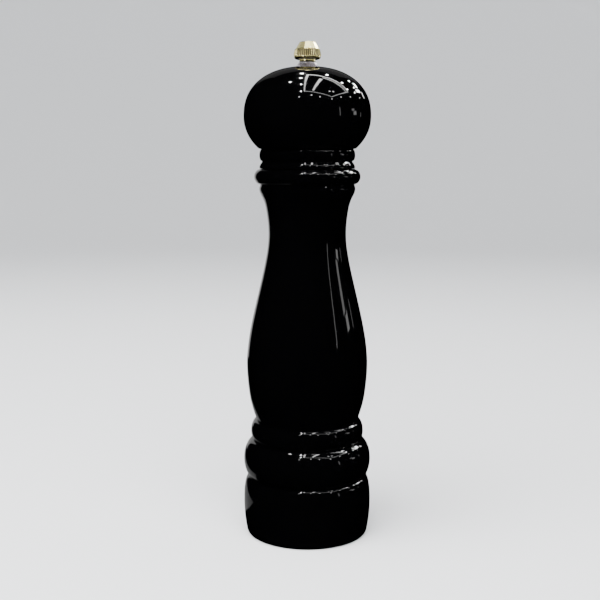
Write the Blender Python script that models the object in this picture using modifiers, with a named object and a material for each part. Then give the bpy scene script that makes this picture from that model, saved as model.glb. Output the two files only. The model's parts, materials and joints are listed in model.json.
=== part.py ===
"""Pepper mill: a turned wooden body and head round a screw-adjusted grinder on a square shaft.

The mill stands on Z = 0 with its axis on the Z axis, +Z up. Sizes and heights below are
in millimetres from the base, and the helpers turn them into metres where a mesh is made.
Outlines are lists of (radius, height).
"""

import math

import bmesh
import bpy
import numpy as np
from mathutils import Matrix

MM = 0.001
GAP = 0.3
SIDES = 40
SMALL_SIDES = 16
MERGE = 0.00001

# Turned wood: crests of the outline
BASE_RADIUS, BASE_CREST = 33.2, 16.6
LARGE_BEAD_RADIUS, LARGE_BEAD_CREST = 33.1, 39.5
SMALL_BEAD_RADIUS, SMALL_BEAD_CREST = 29.3, 54.1
BULB_RADIUS, BULB_CREST = 31.25, 90.4
WAIST_RADIUS, WAIST_HEIGHT = 19.8, 155.9
RING_RADIUS, RING_CREST = 26.95, 185.9
JOINT_RADIUS, JOINT_HEIGHT = 24.2, 189.9
NECK_BEAD_RADIUS, NECK_BEAD_CREST = 24.25, 196.5
BALL_RADIUS, BALL_CENTRE = 32.1, 215.9
BALL_TOP, BALL_FLAT = 240.25, 8.0

# Turned wood: what is bored inside
CHAMBER_RADIUS = 13.5
RECESS_RADIUS, SHOULDER = 20.0, 26.0
TENON_RADIUS, TENON_BOTTOM = 13.1, 175.9
HEAD_BORE, HEAD_BORE_TOP, THREAD_HOLE = 4.2, 233.9, 3.0
BAR_SLOT_DEPTH = 3.6

# Shaft, square with bevelled corners below and round at both ends
SHAFT_ACROSS, SHAFT_CORNER = 6.0, 0.8
SHAFT_BOTTOM, SQUARE_BOTTOM, SQUARE_TOP, SHAFT_TOP = 1.9, 4.9, 231.9, 249.6
JOURNAL_RADIUS, THREAD_RADIUS = 2.4, 2.5
SQUARE_HOLE = 6.7
ROUND_HOLE = 3.98

# Grinder, from the shoulder down
PLATE_RADIUS, PLATE_THICKNESS = 19.6, 1.2
PLATE_TOP = SHOULDER - GAP
STATOR_TOP = PLATE_TOP - PLATE_THICKNESS - GAP
STATOR_BOTTOM, STATOR_RADIUS, FLANGE_THICKNESS = 5.6, 14.7, 1.3
WASHER_RADIUS, WASHER_THICKNESS = 5.6, 1.0
WASHER_TOP = PLATE_TOP - PLATE_THICKNESS - GAP
ROTOR_BOTTOM, ROTOR_TOP = 6.2, 16.3
SPRING_RADIUS, WIRE_RADIUS, SPRING_TURNS = 4.65, 0.45, 3.5
TEETH = 20

# Fasteners
SCREW_RING, SCREW_HEAD_RADIUS, SCREW_SHANK, PILOT = 17.2, 2.1, 1.2, 1.5
BAR_LENGTH, BAR_WIDTH, BAR_BOTTOM, BAR_THICKNESS = 56.0, 9.0, 1.8, 1.5
BAR_SCREW_X = 24.3
TURN_PLATE_RADIUS, TURN_PLATE_THICKNESS, TURN_PLATE_SCREW_X = 12.6, 1.5, 8.8

# Knob and its washer
COLLAR_BOTTOM = BALL_TOP + GAP
COLLAR_TOP = 242.7
KNOB_BOTTOM, KNOB_TOP, KNOB_BORE_TOP = COLLAR_TOP + GAP, 252.7, 250.0
KNOB_FACETS = 12


# ---------------------------------------------------------------- scene and materials

for leftover in list(bpy.data.objects):
    bpy.data.objects.remove(leftover, do_unlink=True)


def new_collection(name):
    made = bpy.data.collections.new(name)
    bpy.context.scene.collection.children.link(made)
    return made


PARTS = new_collection("pepper_mill")
CUTTERS = new_collection("cutters")


def new_material(name, colour, roughness, metallic):
    material = bpy.data.materials.new(name)
    material.use_nodes = True
    shader = material.node_tree.nodes["Principled BSDF"]
    shader.inputs["Base Color"].default_value = (*colour, 1.0)
    shader.inputs["Roughness"].default_value = roughness
    shader.inputs["Metallic"].default_value = metallic
    return material


LACQUER = new_material("black_lacquer", (0.005, 0.005, 0.006), 0.06, 0.0)
BRASS = new_material("polished_brass", (0.80, 0.70, 0.42), 0.15, 1.0)
ZINC = new_material("zinc_plate", (0.62, 0.60, 0.62), 0.3, 1.0)
ALUMINIUM = new_material("aluminium_bar", (0.72, 0.72, 0.73), 0.35, 1.0)
BURR_STEEL = new_material("burr_steel", (0.30, 0.29, 0.28), 0.4, 1.0)
SPRING_STEEL = new_material("spring_steel", (0.45, 0.45, 0.46), 0.25, 1.0)


# ---------------------------------------------------------------- outlines


def quarter(crest, end, power=2.0, steps=6):
    """Points from crest to end along a superellipse quarter; power 2 is an ellipse."""
    points = []
    for i in range(steps + 1):
        turn = math.radians(90) * i / steps
        across = math.cos(turn) ** (2 / power) if i < steps else 0.0
        along = math.sin(turn) ** (2 / power)
        radius = end[0] + (crest[0] - end[0]) * across
        points.append((radius, crest[1] + (end[1] - crest[1]) * along))
    return points


def bead(low, crest, high, steps=5):
    """Points up a round bead between two grooves."""
    return quarter(crest, low, steps=steps)[::-1] + quarter(crest, high, steps=steps)[1:]


def bow(crest, end, steps=5):
    """Points from crest to end along a parabola, which leaves the crest upright."""
    points = []
    for i in range(steps + 1):
        t = i / steps
        radius = crest[0] - (crest[0] - end[0]) * t * t
        points.append((radius, crest[1] + (end[1] - crest[1]) * t))
    return points


def through(knots, steps=2):
    """Points up a natural cubic spline, radius over height, through the knots."""
    radii, heights = np.array(knots).T
    spans = np.diff(heights)
    slopes = np.diff(radii) / spans
    matrix = np.eye(len(knots))
    wanted = np.zeros(len(knots))
    for i in range(1, len(knots) - 1):
        matrix[i, i - 1 : i + 2] = spans[i - 1], 2 * (spans[i - 1] + spans[i]), spans[i]
        wanted[i] = 6 * (slopes[i] - slopes[i - 1])
    bends = np.linalg.solve(matrix, wanted)
    points = []
    for i, span in enumerate(spans):
        for k in range(steps):
            b = k / steps
            a = 1 - b
            curved = ((a**3 - a) * bends[i] + (b**3 - b) * bends[i + 1]) * span * span / 6
            points.append((a * radii[i] + b * radii[i + 1] + curved, heights[i] + b * span))
    return [*points, knots[-1]]


# ---------------------------------------------------------------- mesh helpers


def new_object(name, mesh, material, origin_height, home=PARTS):
    """An object whose mesh is given in world millimetres and whose origin is on the axis."""
    mesh.transform(Matrix.Scale(MM, 4) @ Matrix.Translation((0, 0, -origin_height)))
    made = bpy.data.objects.new(name, mesh)
    made.location.z = origin_height * MM
    home.objects.link(made)
    if material:
        mesh.materials.append(material)
    if home is CUTTERS:
        made.hide_render = True
        made.display_type = "WIRE"
    return made


def mesh_of(bm, name):
    bmesh.ops.recalc_face_normals(bm, faces=bm.faces)
    mesh = bpy.data.meshes.new(name)
    bm.to_mesh(mesh)
    bm.free()
    return mesh


def turned(name, outline, material, sides=SIDES, ring=True, origin_height=None, home=PARTS):
    """A turned piece; the outline runs down its outer side. A ring's outline is a closed loop."""
    mesh = bpy.data.meshes.new(name)
    count = len(outline)
    edges = [(i, i + 1) for i in range(count - 1)]
    if ring:
        edges.append((count - 1, 0))
    mesh.from_pydata([(radius, 0, height) for radius, height in outline], edges, [])
    if origin_height is None:
        origin_height = min(height for _, height in outline)
    made = new_object(name, mesh, material, origin_height, home)
    screw = made.modifiers.new("Turn", "SCREW")
    screw.steps = screw.render_steps = sides
    screw.use_merge_vertices = True
    screw.merge_threshold = MERGE
    screw.use_smooth_shade = False
    return made


def tube_outline(outer, inner, bottom, top):
    return [(outer, top), (outer, bottom), (inner, bottom), (inner, top)]


def rod(name, radius, bottom, top, material=None, at=(0, 0), sides=SMALL_SIDES, home=CUTTERS):
    bm = bmesh.new()
    bmesh.ops.create_cone(
        bm, cap_ends=True, segments=sides, radius1=radius, radius2=radius, depth=top - bottom
    )
    bmesh.ops.translate(bm, verts=bm.verts, vec=(*at, (top + bottom) / 2))
    return new_object(name, mesh_of(bm, name), material, bottom, home)


def block(name, size, centre, corner=0.0, turn=0.0, material=None, home=CUTTERS):
    """A box; its four upright edges can be cut by corner, and it can be turned about Z."""
    bm = bmesh.new()
    bmesh.ops.create_cube(bm, size=1.0)
    bmesh.ops.scale(bm, verts=bm.verts, vec=size)
    if corner:
        upright = [
            edge for edge in bm.edges if abs((edge.verts[0].co - edge.verts[1].co).z) > size[2] / 2
        ]
        bmesh.ops.bevel(bm, geom=upright, offset=corner, segments=1, affect="EDGES")
    bmesh.ops.translate(bm, verts=bm.verts, vec=centre)
    bmesh.ops.rotate(bm, verts=bm.verts, matrix=Matrix.Rotation(turn, 3, "Z"))
    return new_object(name, mesh_of(bm, name), material, centre[2] - size[2] / 2, home)


def toothed(name, rings, teeth, material=None, home=PARTS):
    """A loft through toothed rings, each (height, root radius, tip radius, twist in degrees)."""
    bm = bmesh.new()
    loops = []
    for height, root, tip, twist in rings:
        loop = []
        for i in range(2 * teeth):
            angle = math.pi * i / teeth + math.radians(twist)
            radius = tip if i % 2 else root
            loop.append(bm.verts.new((radius * math.cos(angle), radius * math.sin(angle), height)))
        loops.append(loop)
    for lower, upper in zip(loops, loops[1:]):
        for i in range(2 * teeth):
            j = (i + 1) % (2 * teeth)
            bm.faces.new((lower[i], lower[j], upper[j], upper[i]))
    bm.faces.new(loops[0][::-1])
    bm.faces.new(loops[-1])
    return new_object(name, mesh_of(bm, name), material, rings[0][0], home)


def combine(target, others, operation="DIFFERENCE"):
    for other in others:
        modifier = target.modifiers.new(other.name, "BOOLEAN")
        modifier.operation = operation
        modifier.solver = "EXACT"
        modifier.object = other


def wood_screw(name, at, head_top, tip, material):
    """A slotted pan-head screw that stands upright, head down."""
    head_height = 1.4
    slot_width, slot_depth = 0.6, 0.6
    head_bottom = head_top - head_height
    outline = [
        (0, tip),
        (SCREW_SHANK * 0.35, tip - 0.3),
        (SCREW_SHANK, tip - 2.0),
        (SCREW_SHANK, head_top),
        (SCREW_HEAD_RADIUS, head_top),
        (SCREW_HEAD_RADIUS, head_bottom + 0.5),
        (SCREW_HEAD_RADIUS * 0.75, head_bottom),
        (0, head_bottom),
    ]
    screw = turned(name, outline, material, SMALL_SIDES, ring=False)
    screw.location.x, screw.location.y = at[0] * MM, at[1] * MM
    slot_size = (6.0, slot_width, 2 * slot_depth)
    slot = block(name + "_slot", slot_size, (0, 0, head_bottom), turn=math.radians(35))
    slot.location.x, slot.location.y = screw.location.x, screw.location.y
    combine(screw, [slot])
    return screw


def on_circle(radius, degrees):
    return (radius * math.cos(math.radians(degrees)), radius * math.sin(math.radians(degrees)))


# ---------------------------------------------------------------- wood

STATOR_SCREWS = [on_circle(SCREW_RING, degrees) for degrees in (90, 210, 330)]
BAR_SCREWS = [(-BAR_SCREW_X, 0), (BAR_SCREW_X, 0)]
TURN_PLATE_SCREWS = [(-TURN_PLATE_SCREW_X, 0), (TURN_PLATE_SCREW_X, 0)]


def body_outline():
    """The outer side of the body, from the bottom up."""
    base_crest = (BASE_RADIUS, BASE_CREST)
    groove_1, groove_2, groove_3 = (29.4, 30.7), (27.5, 49.8), (26.4, 60.1)
    foot = [(30.4, 0.0), (31.0, 0.2), (31.4, 0.7)]
    base = bow(base_crest, (31.7, 1.4))[::-1] + quarter(base_crest, groove_1, power=2.5)[1:]
    large_bead = bead(groove_1, (LARGE_BEAD_RADIUS, LARGE_BEAD_CREST), groove_2)
    small_bead = bead(groove_2, (SMALL_BEAD_RADIUS, SMALL_BEAD_CREST), groove_3, steps=4)
    trunk = through(
        [
            groove_3,
            (27.8, 64.4),
            (29.2, 69.4),
            (30.65, 78.9),
            (BULB_RADIUS, BULB_CREST),
            (29.6, 106.1),
            (26.0, 122.9),
            (22.15, 139.5),
            (WAIST_RADIUS, WAIST_HEIGHT),
            (20.8, 168.3),
            (22.6, 174.9),
            (24.4, 180.0),
            (23.9, 181.9),
        ]
    )
    ring = bead((23.5, 182.0), (RING_RADIUS, RING_CREST), (JOINT_RADIUS, JOINT_HEIGHT), steps=4)
    ring[-1] = (JOINT_RADIUS, JOINT_HEIGHT - GAP / 2)
    return [*foot, *base, *large_bead[1:], *small_bead[1:], *trunk[1:], *ring]


def head_outline():
    """The outer side of the head, from the joint with the body up to the flat under the knob."""
    groove = (23.1, 199.2)
    cove = (22.7, 193.4)
    lip = [(JOINT_RADIUS, JOINT_HEIGHT + GAP / 2), (JOINT_RADIUS, 190.7), (23.6, 192.1), cove]
    neck_bead = bead(cove, (NECK_BEAD_RADIUS, NECK_BEAD_CREST), groove, steps=3)
    ball_crest = (BALL_RADIUS, BALL_CENTRE)
    lower = [point for point in quarter(ball_crest, (0, 191.6), power=2.05, steps=16) if point[1] > groove[1]]
    upper = [
        point
        for point in quarter(ball_crest, (0, 240.75), power=2.3, steps=14)
        if point[0] > BALL_FLAT
    ]
    return [*lip, *neck_bead[1:], *lower[::-1], *upper[1:], (BALL_FLAT, BALL_TOP)]


def make_wood():
    inside = [
        (RECESS_RADIUS, 0.0),
        (RECESS_RADIUS, SHOULDER),
        (CHAMBER_RADIUS, SHOULDER),
        (CHAMBER_RADIUS, JOINT_HEIGHT - GAP / 2),
    ]
    body = turned("wood_body", body_outline()[::-1] + inside, LACQUER)
    slot_size = (BAR_LENGTH + 1.2, BAR_WIDTH + 1.0, 2 * BAR_SLOT_DEPTH)
    combine(body, [block("bar_slot", slot_size, (0, 0, 0), corner=2.5)])
    for i, at in enumerate(STATOR_SCREWS):
        combine(body, [rod(f"stator_pilot_{i}", PILOT, SHOULDER - 2, 37.0, at=at)])
    for i, at in enumerate(BAR_SCREWS):
        combine(body, [rod(f"bar_pilot_{i}", PILOT, 1.0, 15.0, at=at)])

    bore = [
        (TENON_RADIUS, JOINT_HEIGHT + GAP / 2),
        (TENON_RADIUS, TENON_BOTTOM + 0.8),
        (TENON_RADIUS - 0.8, TENON_BOTTOM),
        (HEAD_BORE, TENON_BOTTOM),
        (HEAD_BORE, HEAD_BORE_TOP),
        (THREAD_HOLE, HEAD_BORE_TOP),
        (THREAD_HOLE, BALL_TOP),
    ]
    head = turned("wood_head", head_outline()[::-1] + bore, LACQUER, origin_height=JOINT_HEIGHT)
    for i, at in enumerate(TURN_PLATE_SCREWS):
        combine(head, [rod(f"turn_plate_pilot_{i}", PILOT, TENON_BOTTOM - 2, 185.9, at=at)])
    return body, head


# ---------------------------------------------------------------- knob


def make_knob():
    """Faceted cone over a reeded band, an undercut below it, and a short neck with a blind thread."""
    band_top, band_top_radius = 249.1, 6.2
    band_bottom, band_radius = 245.6, 6.8
    neck_radius, neck_top = 4.1, 243.9
    tip_radius, cone_radius = 4.0, 5.95
    grip = [
        (0, band_top + 1.0),
        (band_top_radius - 0.9, band_top + 1.0),
        (band_top_radius - 0.3, band_top),
        (band_top_radius, band_top - 0.2),
        (band_radius - 0.1, band_top - 1.8),
        (band_radius, band_bottom + 0.6),
        (band_radius - 0.15, band_bottom),
        (band_radius - 0.9, band_bottom - 1.1),
        (neck_radius, neck_top),
        (neck_radius, KNOB_BOTTOM),
        (0, KNOB_BOTTOM),
    ]
    knob = turned("knob", grip, BRASS, 36, ring=False)
    bm = bmesh.new()
    overlap = 0.4
    slope = (cone_radius - tip_radius) / (KNOB_TOP - band_top)
    bmesh.ops.create_cone(
        bm,
        cap_ends=True,
        segments=KNOB_FACETS,
        radius1=cone_radius + slope * overlap,
        radius2=tip_radius,
        depth=KNOB_TOP - band_top + overlap,
    )
    bmesh.ops.translate(bm, verts=bm.verts, vec=(0, 0, (KNOB_TOP + band_top - overlap) / 2))
    cone = new_object("knob_cone", mesh_of(bm, "knob_cone"), None, band_top, CUTTERS)
    combine(knob, [cone], "UNION")
    combine(knob, [rod("knob_thread", THREAD_RADIUS + 0.35, KNOB_BOTTOM - 2, KNOB_BORE_TOP)])

    outline = [
        (4.3, COLLAR_TOP),
        (4.5, COLLAR_TOP - 0.6),
        (5.6, COLLAR_BOTTOM + 0.45),
        (5.8, COLLAR_BOTTOM + 0.25),
        (5.8, COLLAR_BOTTOM),
        (THREAD_RADIUS + 0.35, COLLAR_BOTTOM),
        (THREAD_RADIUS + 0.35, COLLAR_TOP),
    ]
    collar = turned("knob_collar", outline, ZINC, 24)
    return knob, collar


# ---------------------------------------------------------------- shaft and turn plate


def square_cutter(name, bottom, top):
    size = (SQUARE_HOLE, SQUARE_HOLE, top - bottom)
    return block(name, size, (0, 0, (top + bottom) / 2))


def make_shaft():
    length = SQUARE_TOP - SQUARE_BOTTOM
    centre = (0, 0, (SQUARE_TOP + SQUARE_BOTTOM) / 2)
    size = (SHAFT_ACROSS, SHAFT_ACROSS, length)
    shaft = block("drive_shaft", size, centre, SHAFT_CORNER, material=ALUMINIUM, home=PARTS)
    overlap = 3.0
    thread = turned(
        "shaft_thread",
        [
            (0, SHAFT_TOP),
            (THREAD_RADIUS - 0.5, SHAFT_TOP),
            (THREAD_RADIUS, SHAFT_TOP - 0.5),
            (THREAD_RADIUS, SQUARE_TOP - overlap),
            (0, SQUARE_TOP - overlap),
        ],
        None,
        SMALL_SIDES,
        ring=False,
        home=CUTTERS,
    )
    journal = rod("shaft_journal", JOURNAL_RADIUS, SHAFT_BOTTOM, SQUARE_BOTTOM + overlap)
    combine(shaft, [thread, journal], "UNION")
    return shaft


def make_turn_plate():
    top = TENON_BOTTOM - GAP
    bottom = top - TURN_PLATE_THICKNESS
    outline = tube_outline(TURN_PLATE_RADIUS, THREAD_RADIUS, bottom, top)
    plate = turned("turn_plate", outline, ZINC, 32)
    holes = [
        rod(f"turn_plate_hole_{i}", PILOT, bottom - 2, top + 2, at=at)
        for i, at in enumerate(TURN_PLATE_SCREWS)
    ]
    combine(plate, [square_cutter("turn_plate_square", bottom - 2, top + 2), *holes])
    screws = [
        wood_screw(f"turn_plate_screw_{i + 1}", at, bottom - GAP, 184.9, ZINC)
        for i, at in enumerate(TURN_PLATE_SCREWS)
    ]
    return [plate, *screws]


# ---------------------------------------------------------------- grinder


def make_bearing_plate():
    """A spider: rim and hub joined by three arms, with windows for the peppercorns between them."""
    bottom = PLATE_TOP - PLATE_THICKNESS
    rim_inner, hub_radius, arm_width = 12.9, 6.4, 3.6
    plate = turned("bearing_plate", tube_outline(PLATE_RADIUS, rim_inner, bottom, PLATE_TOP), ZINC)
    hub_outline = tube_outline(hub_radius, ROUND_HOLE, bottom, PLATE_TOP)
    hub = turned("bearing_hub", hub_outline, None, 24, home=CUTTERS)
    arms = [
        block(
            f"bearing_arm_{i}",
            (rim_inner - hub_radius + 2.4, arm_width, PLATE_THICKNESS),
            ((rim_inner + hub_radius) / 2, 0, bottom + PLATE_THICKNESS / 2),
            turn=math.radians(90 + 120 * i),
        )
        for i in range(3)
    ]
    holes = [
        rod(f"bearing_hole_{i}", PILOT, bottom - 2, PLATE_TOP + 2, at=at)
        for i, at in enumerate(STATOR_SCREWS)
    ]
    combine(plate, [*arms, hub], "UNION")
    combine(plate, holes)
    return plate


def make_stator():
    """The female ring: it narrows to its throat and its teeth run down to the bottom edge."""
    flange_bottom = STATOR_TOP - FLANGE_THICKNESS
    throat = 9.0
    outline = [
        (PLATE_RADIUS, STATOR_TOP),
        (PLATE_RADIUS, flange_bottom),
        (STATOR_RADIUS, flange_bottom),
        (STATOR_RADIUS, STATOR_BOTTOM),
        (throat, STATOR_BOTTOM),
        (throat, STATOR_TOP),
    ]
    stator = turned("burr_stator", outline, BURR_STEEL)
    cut = toothed(
        "stator_teeth",
        [
            (STATOR_BOTTOM - 1.0, 12.6, 13.5, 0),
            (STATOR_BOTTOM + 5.4, 11.3, 12.3, 6),
            (STATOR_BOTTOM + 10.4, 11.1, 12.4, 14),
            (STATOR_TOP + 1.0, 12.4, 13.3, 26),
        ],
        TEETH,
        home=CUTTERS,
    )
    holes = [
        rod(f"stator_hole_{i}", PILOT, flange_bottom - 2, STATOR_TOP + 2, at=at)
        for i, at in enumerate(STATOR_SCREWS)
    ]
    combine(stator, [cut, *holes])
    screws = [
        wood_screw(f"stator_screw_{i + 1}", at, flange_bottom - GAP, 36.0, ZINC)
        for i, at in enumerate(STATOR_SCREWS)
    ]
    return [stator, *screws]


def make_rotor():
    """The male cone: coarse ridges above draw the corns down, the wide lower band grinds."""
    rotor = toothed(
        "burr_rotor",
        [
            (ROTOR_BOTTOM, 11.2, 11.9, 0),
            (ROTOR_BOTTOM + 4.6, 10.0, 10.8, -7),
            (ROTOR_BOTTOM + 7.4, 7.6, 8.6, -16),
            (ROTOR_TOP, 5.6, 6.2, -26),
        ],
        TEETH,
        BURR_STEEL,
    )
    combine(rotor, [square_cutter("rotor_square", ROTOR_BOTTOM - 2, ROTOR_TOP + 2)])
    retainer_top = ROTOR_BOTTOM - GAP
    outline = tube_outline(5.2, ROUND_HOLE, retainer_top - 0.7, retainer_top)
    retainer = turned("rotor_retainer", outline, ZINC, 24)
    return [rotor, retainer]


def make_thrust_washer():
    bottom = WASHER_TOP - WASHER_THICKNESS
    washer = turned("thrust_washer", tube_outline(WASHER_RADIUS, 2.0, bottom, WASHER_TOP), ZINC, 24)
    combine(washer, [square_cutter("washer_square", bottom - 2, WASHER_TOP + 2)])
    return washer


def make_spring():
    """A compression spring between the rotor and the thrust washer, its end turns laid flat."""
    bottom = ROTOR_TOP + GAP + WIRE_RADIUS
    top = WASHER_TOP - WASHER_THICKNESS - GAP - WIRE_RADIUS
    flat_turn, per_turn = 0.75, 12
    turns = SPRING_TURNS + 2 * flat_turn
    closed_rise = 2 * WIRE_RADIUS + 0.1
    active_rise = (top - bottom - 2 * closed_rise * flat_turn) / SPRING_TURNS
    curve = bpy.data.curves.new("pressure_spring", "CURVE")
    curve.dimensions = "3D"
    curve.bevel_depth = WIRE_RADIUS * MM
    curve.bevel_resolution = 2
    curve.use_fill_caps = True
    spline = curve.splines.new("POLY")
    count = int(turns * per_turn)
    spline.points.add(count)
    for i in range(count + 1):
        turn = turns * i / count
        ends = min(turn, flat_turn) + max(turn - flat_turn - SPRING_TURNS, 0.0)
        height = closed_rise * ends + active_rise * min(max(turn - flat_turn, 0.0), SPRING_TURNS)
        x, y = on_circle(SPRING_RADIUS, 360 * turn)
        spline.points[i].co = (x * MM, y * MM, height * MM, 1)
    curve.materials.append(SPRING_STEEL)
    spring = bpy.data.objects.new("pressure_spring", curve)
    spring.location.z = bottom * MM
    PARTS.objects.link(spring)
    return spring


def make_base_bar():
    size = (BAR_LENGTH, BAR_WIDTH, BAR_THICKNESS)
    centre = (0, 0, BAR_BOTTOM + BAR_THICKNESS / 2)
    bar = block("base_bar", size, centre, corner=2.2, material=ZINC, home=PARTS)
    holes = [
        rod(f"bar_hole_{i}", radius, BAR_BOTTOM - 2, BAR_BOTTOM + 4, at=at)
        for i, (radius, at) in enumerate(
            [(JOURNAL_RADIUS + GAP, (0, 0)), *((PILOT, at) for at in BAR_SCREWS)]
        )
    ]
    combine(bar, holes)
    screws = [
        wood_screw(f"base_bar_screw_{i + 1}", at, BAR_BOTTOM - GAP, 14.0, ZINC)
        for i, at in enumerate(BAR_SCREWS)
    ]
    return [bar, *screws]


# ---------------------------------------------------------------- assembly


def group(name, members, parent=None):
    """An empty on the mill's axis that carries the pieces which move together."""
    carrier = bpy.data.objects.new(name, None)
    PARTS.objects.link(carrier)
    carrier.parent = parent
    for member in members:
        member.parent = carrier
    return carrier


wood_body, wood_head = make_wood()
knob, knob_collar = make_knob()
mill_body = group("mill_body_axis", [wood_body, make_bearing_plate(), *make_stator(), *make_base_bar()])
seat = group("spindle_seat_axis", [make_thrust_washer(), make_spring()], mill_body)
group("spindle_axis", [make_shaft(), *make_rotor()], seat)
head = group("head_axis", [wood_head, *make_turn_plate()], seat)
collar_axis = group("knob_collar_axis", [knob_collar], head)
group("knob_axis", [knob], collar_axis)
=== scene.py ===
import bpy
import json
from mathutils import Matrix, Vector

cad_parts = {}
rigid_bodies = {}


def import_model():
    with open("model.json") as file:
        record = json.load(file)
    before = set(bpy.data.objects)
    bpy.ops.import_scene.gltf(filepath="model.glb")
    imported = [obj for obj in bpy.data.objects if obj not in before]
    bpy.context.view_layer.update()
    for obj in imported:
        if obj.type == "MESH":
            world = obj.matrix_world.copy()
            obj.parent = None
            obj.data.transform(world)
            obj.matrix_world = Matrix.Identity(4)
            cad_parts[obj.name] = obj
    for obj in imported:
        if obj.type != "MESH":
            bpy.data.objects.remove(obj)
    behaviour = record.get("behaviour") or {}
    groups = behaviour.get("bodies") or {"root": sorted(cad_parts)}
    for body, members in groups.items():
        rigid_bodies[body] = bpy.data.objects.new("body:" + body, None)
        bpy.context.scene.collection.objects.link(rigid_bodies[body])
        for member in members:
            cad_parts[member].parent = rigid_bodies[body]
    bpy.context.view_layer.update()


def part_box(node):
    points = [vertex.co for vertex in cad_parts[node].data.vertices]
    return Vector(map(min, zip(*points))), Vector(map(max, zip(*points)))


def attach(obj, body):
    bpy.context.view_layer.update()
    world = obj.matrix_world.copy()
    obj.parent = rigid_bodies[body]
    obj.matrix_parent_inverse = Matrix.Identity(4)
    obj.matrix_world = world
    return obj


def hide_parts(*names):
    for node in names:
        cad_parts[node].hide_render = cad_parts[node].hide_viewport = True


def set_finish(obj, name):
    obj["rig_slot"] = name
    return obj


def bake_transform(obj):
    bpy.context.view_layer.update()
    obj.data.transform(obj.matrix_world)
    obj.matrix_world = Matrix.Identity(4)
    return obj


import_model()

import json
import math

import bmesh
import bpy
import numpy as np
from mathutils import Matrix, Vector

# The mill stands on Z = 0 with its axis on Z. Outlines are lists of (radius, height) in
# millimetres, and the mesh helpers turn them into metres. Camera, stage and lights are in metres.
MM = 0.001
TAU = 2 * math.pi


def top(node):
    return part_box(node)[1][2] / MM


def bottom(node):
    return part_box(node)[0][2] / MM


def radius(node):
    low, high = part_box(node)
    return (high[1] - low[1]) / 2 / MM


# ---------------------------------------------------------------- camera and stage

LENS, SENSOR_WIDTH, CLIP_START = 63.0, 36.0, 0.01
CAMERA_PLACE = (-0.0037, -0.5365, 0.1990)
CAMERA_TILT = math.radians(90 - 8.1)
FLOOR_COLOUR, FLOOR_ROUGHNESS = (0.80, 0.81, 0.825), 0.9
FLOOR_DROP = 0.0002


def make_camera():
    data = bpy.data.cameras.new("camera")
    data.lens = LENS
    data.sensor_width = SENSOR_WIDTH
    data.clip_start = CLIP_START
    camera = bpy.data.objects.new("camera", data)
    camera.location = CAMERA_PLACE
    camera.rotation_euler = (CAMERA_TILT, 0, 0)
    bpy.context.scene.collection.objects.link(camera)
    bpy.context.scene.camera = camera


def plain_material(name, colour, rough):
    """A matt material, for the stage."""
    material = bpy.data.materials.new(name)
    material.use_nodes = True
    shader = material.node_tree.nodes["Principled BSDF"]
    shader.inputs["Base Color"].default_value = (*colour, 1)
    shader.inputs["Roughness"].default_value = rough
    shader.inputs["Specular IOR Level"].default_value = 0.0
    return material


def make_stage():
    """A pale floor that curves up into a wall all round, a hair below the mill's foot."""
    floor_radius, bend, wall = 1.6, 1.4, 2.6
    bend_steps, columns = 12, 96
    outline = [(0.0, 0.0), (0.4, 0.0), (floor_radius, 0.0)]
    for i in range(1, bend_steps + 1):
        turn = math.radians(90) * i / bend_steps
        outline.append((floor_radius + bend * math.sin(turn), bend * (1 - math.cos(turn))))
    outline.append((floor_radius + bend, bend + wall))
    bm = bmesh.new()
    vertices = [bm.verts.new((r, 0, z - FLOOR_DROP)) for r, z in outline]
    edges = [bm.edges.new(pair) for pair in zip(vertices, vertices[1:])]
    bmesh.ops.spin(
        bm, geom=vertices + edges, cent=(0, 0, 0), axis=(0, 0, 1), angle=TAU, steps=columns,
        use_merge=True, use_duplicate=False,
    )
    bmesh.ops.remove_doubles(bm, verts=bm.verts, dist=1e-5)
    bmesh.ops.recalc_face_normals(bm, faces=bm.faces)
    mesh = bpy.data.meshes.new("floor")
    bm.to_mesh(mesh)
    bm.free()
    mesh.shade_smooth()
    floor = bpy.data.objects.new("floor", mesh)
    bpy.context.scene.collection.objects.link(floor)
    mesh.materials.append(plain_material("pale_floor", FLOOR_COLOUR, FLOOR_ROUGHNESS))
    floor.visible_glossy = False


# ---------------------------------------------------------------- lights

MIDDLE = (0, 0, 0.15)
CEILING, HEAD_HEIGHT = 1.6, 0.2
PANEL_REACH = 1.5
UPRIGHT_REACH, UPRIGHT_HEIGHT = 1.8, 0.12


def direction(azimuth, elevation):
    """A unit vector; azimuth 0 points from the mill to the camera and grows to the right."""
    a, e = math.radians(azimuth), math.radians(elevation)
    return Vector((math.sin(a) * math.cos(e), -math.cos(a) * math.cos(e), math.sin(e)))


def area_light(name, place, size, power, aim=MIDDLE, glossy=True, diffuse=True):
    data = bpy.data.lights.new(name, "AREA")
    data.shape = "RECTANGLE"
    data.size, data.size_y = size
    data.energy = power
    light = bpy.data.objects.new(name, data)
    light.location = place
    away = Vector(place) - Vector(aim)
    light.rotation_euler = away.to_track_quat("Z", "Y").to_euler()
    light.visible_glossy = glossy
    light.visible_diffuse = diffuse
    light.visible_camera = False
    light.visible_transmission = False
    bpy.context.scene.collection.objects.link(light)
    return light


def strip(name, start, end, width, brightness, aim=MIDDLE):
    """A thin light between two points, which shows as a line in the lacquer."""
    start, end = Vector(start), Vector(end)
    middle = (start + end) / 2
    length = (end - start).length
    light = area_light(name, middle, (width, length), brightness * width * length, diffuse=False)
    along = (end - start).normalized()
    away = (middle - Vector(aim)).normalized()
    across = along.cross(away).normalized()
    away = across.cross(along).normalized()
    light.rotation_euler = Matrix((across, along, away)).transposed().to_euler()
    return light


def on_ceiling(x, y):
    """A point of the ceiling; x and y are shares of its height above the head."""
    return Vector((x * CEILING, y * CEILING, CEILING + HEAD_HEIGHT))


def ceiling_strip(name, start, end, width, brightness):
    strip(name, on_ceiling(*start), on_ceiling(*end), width, brightness)


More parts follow.
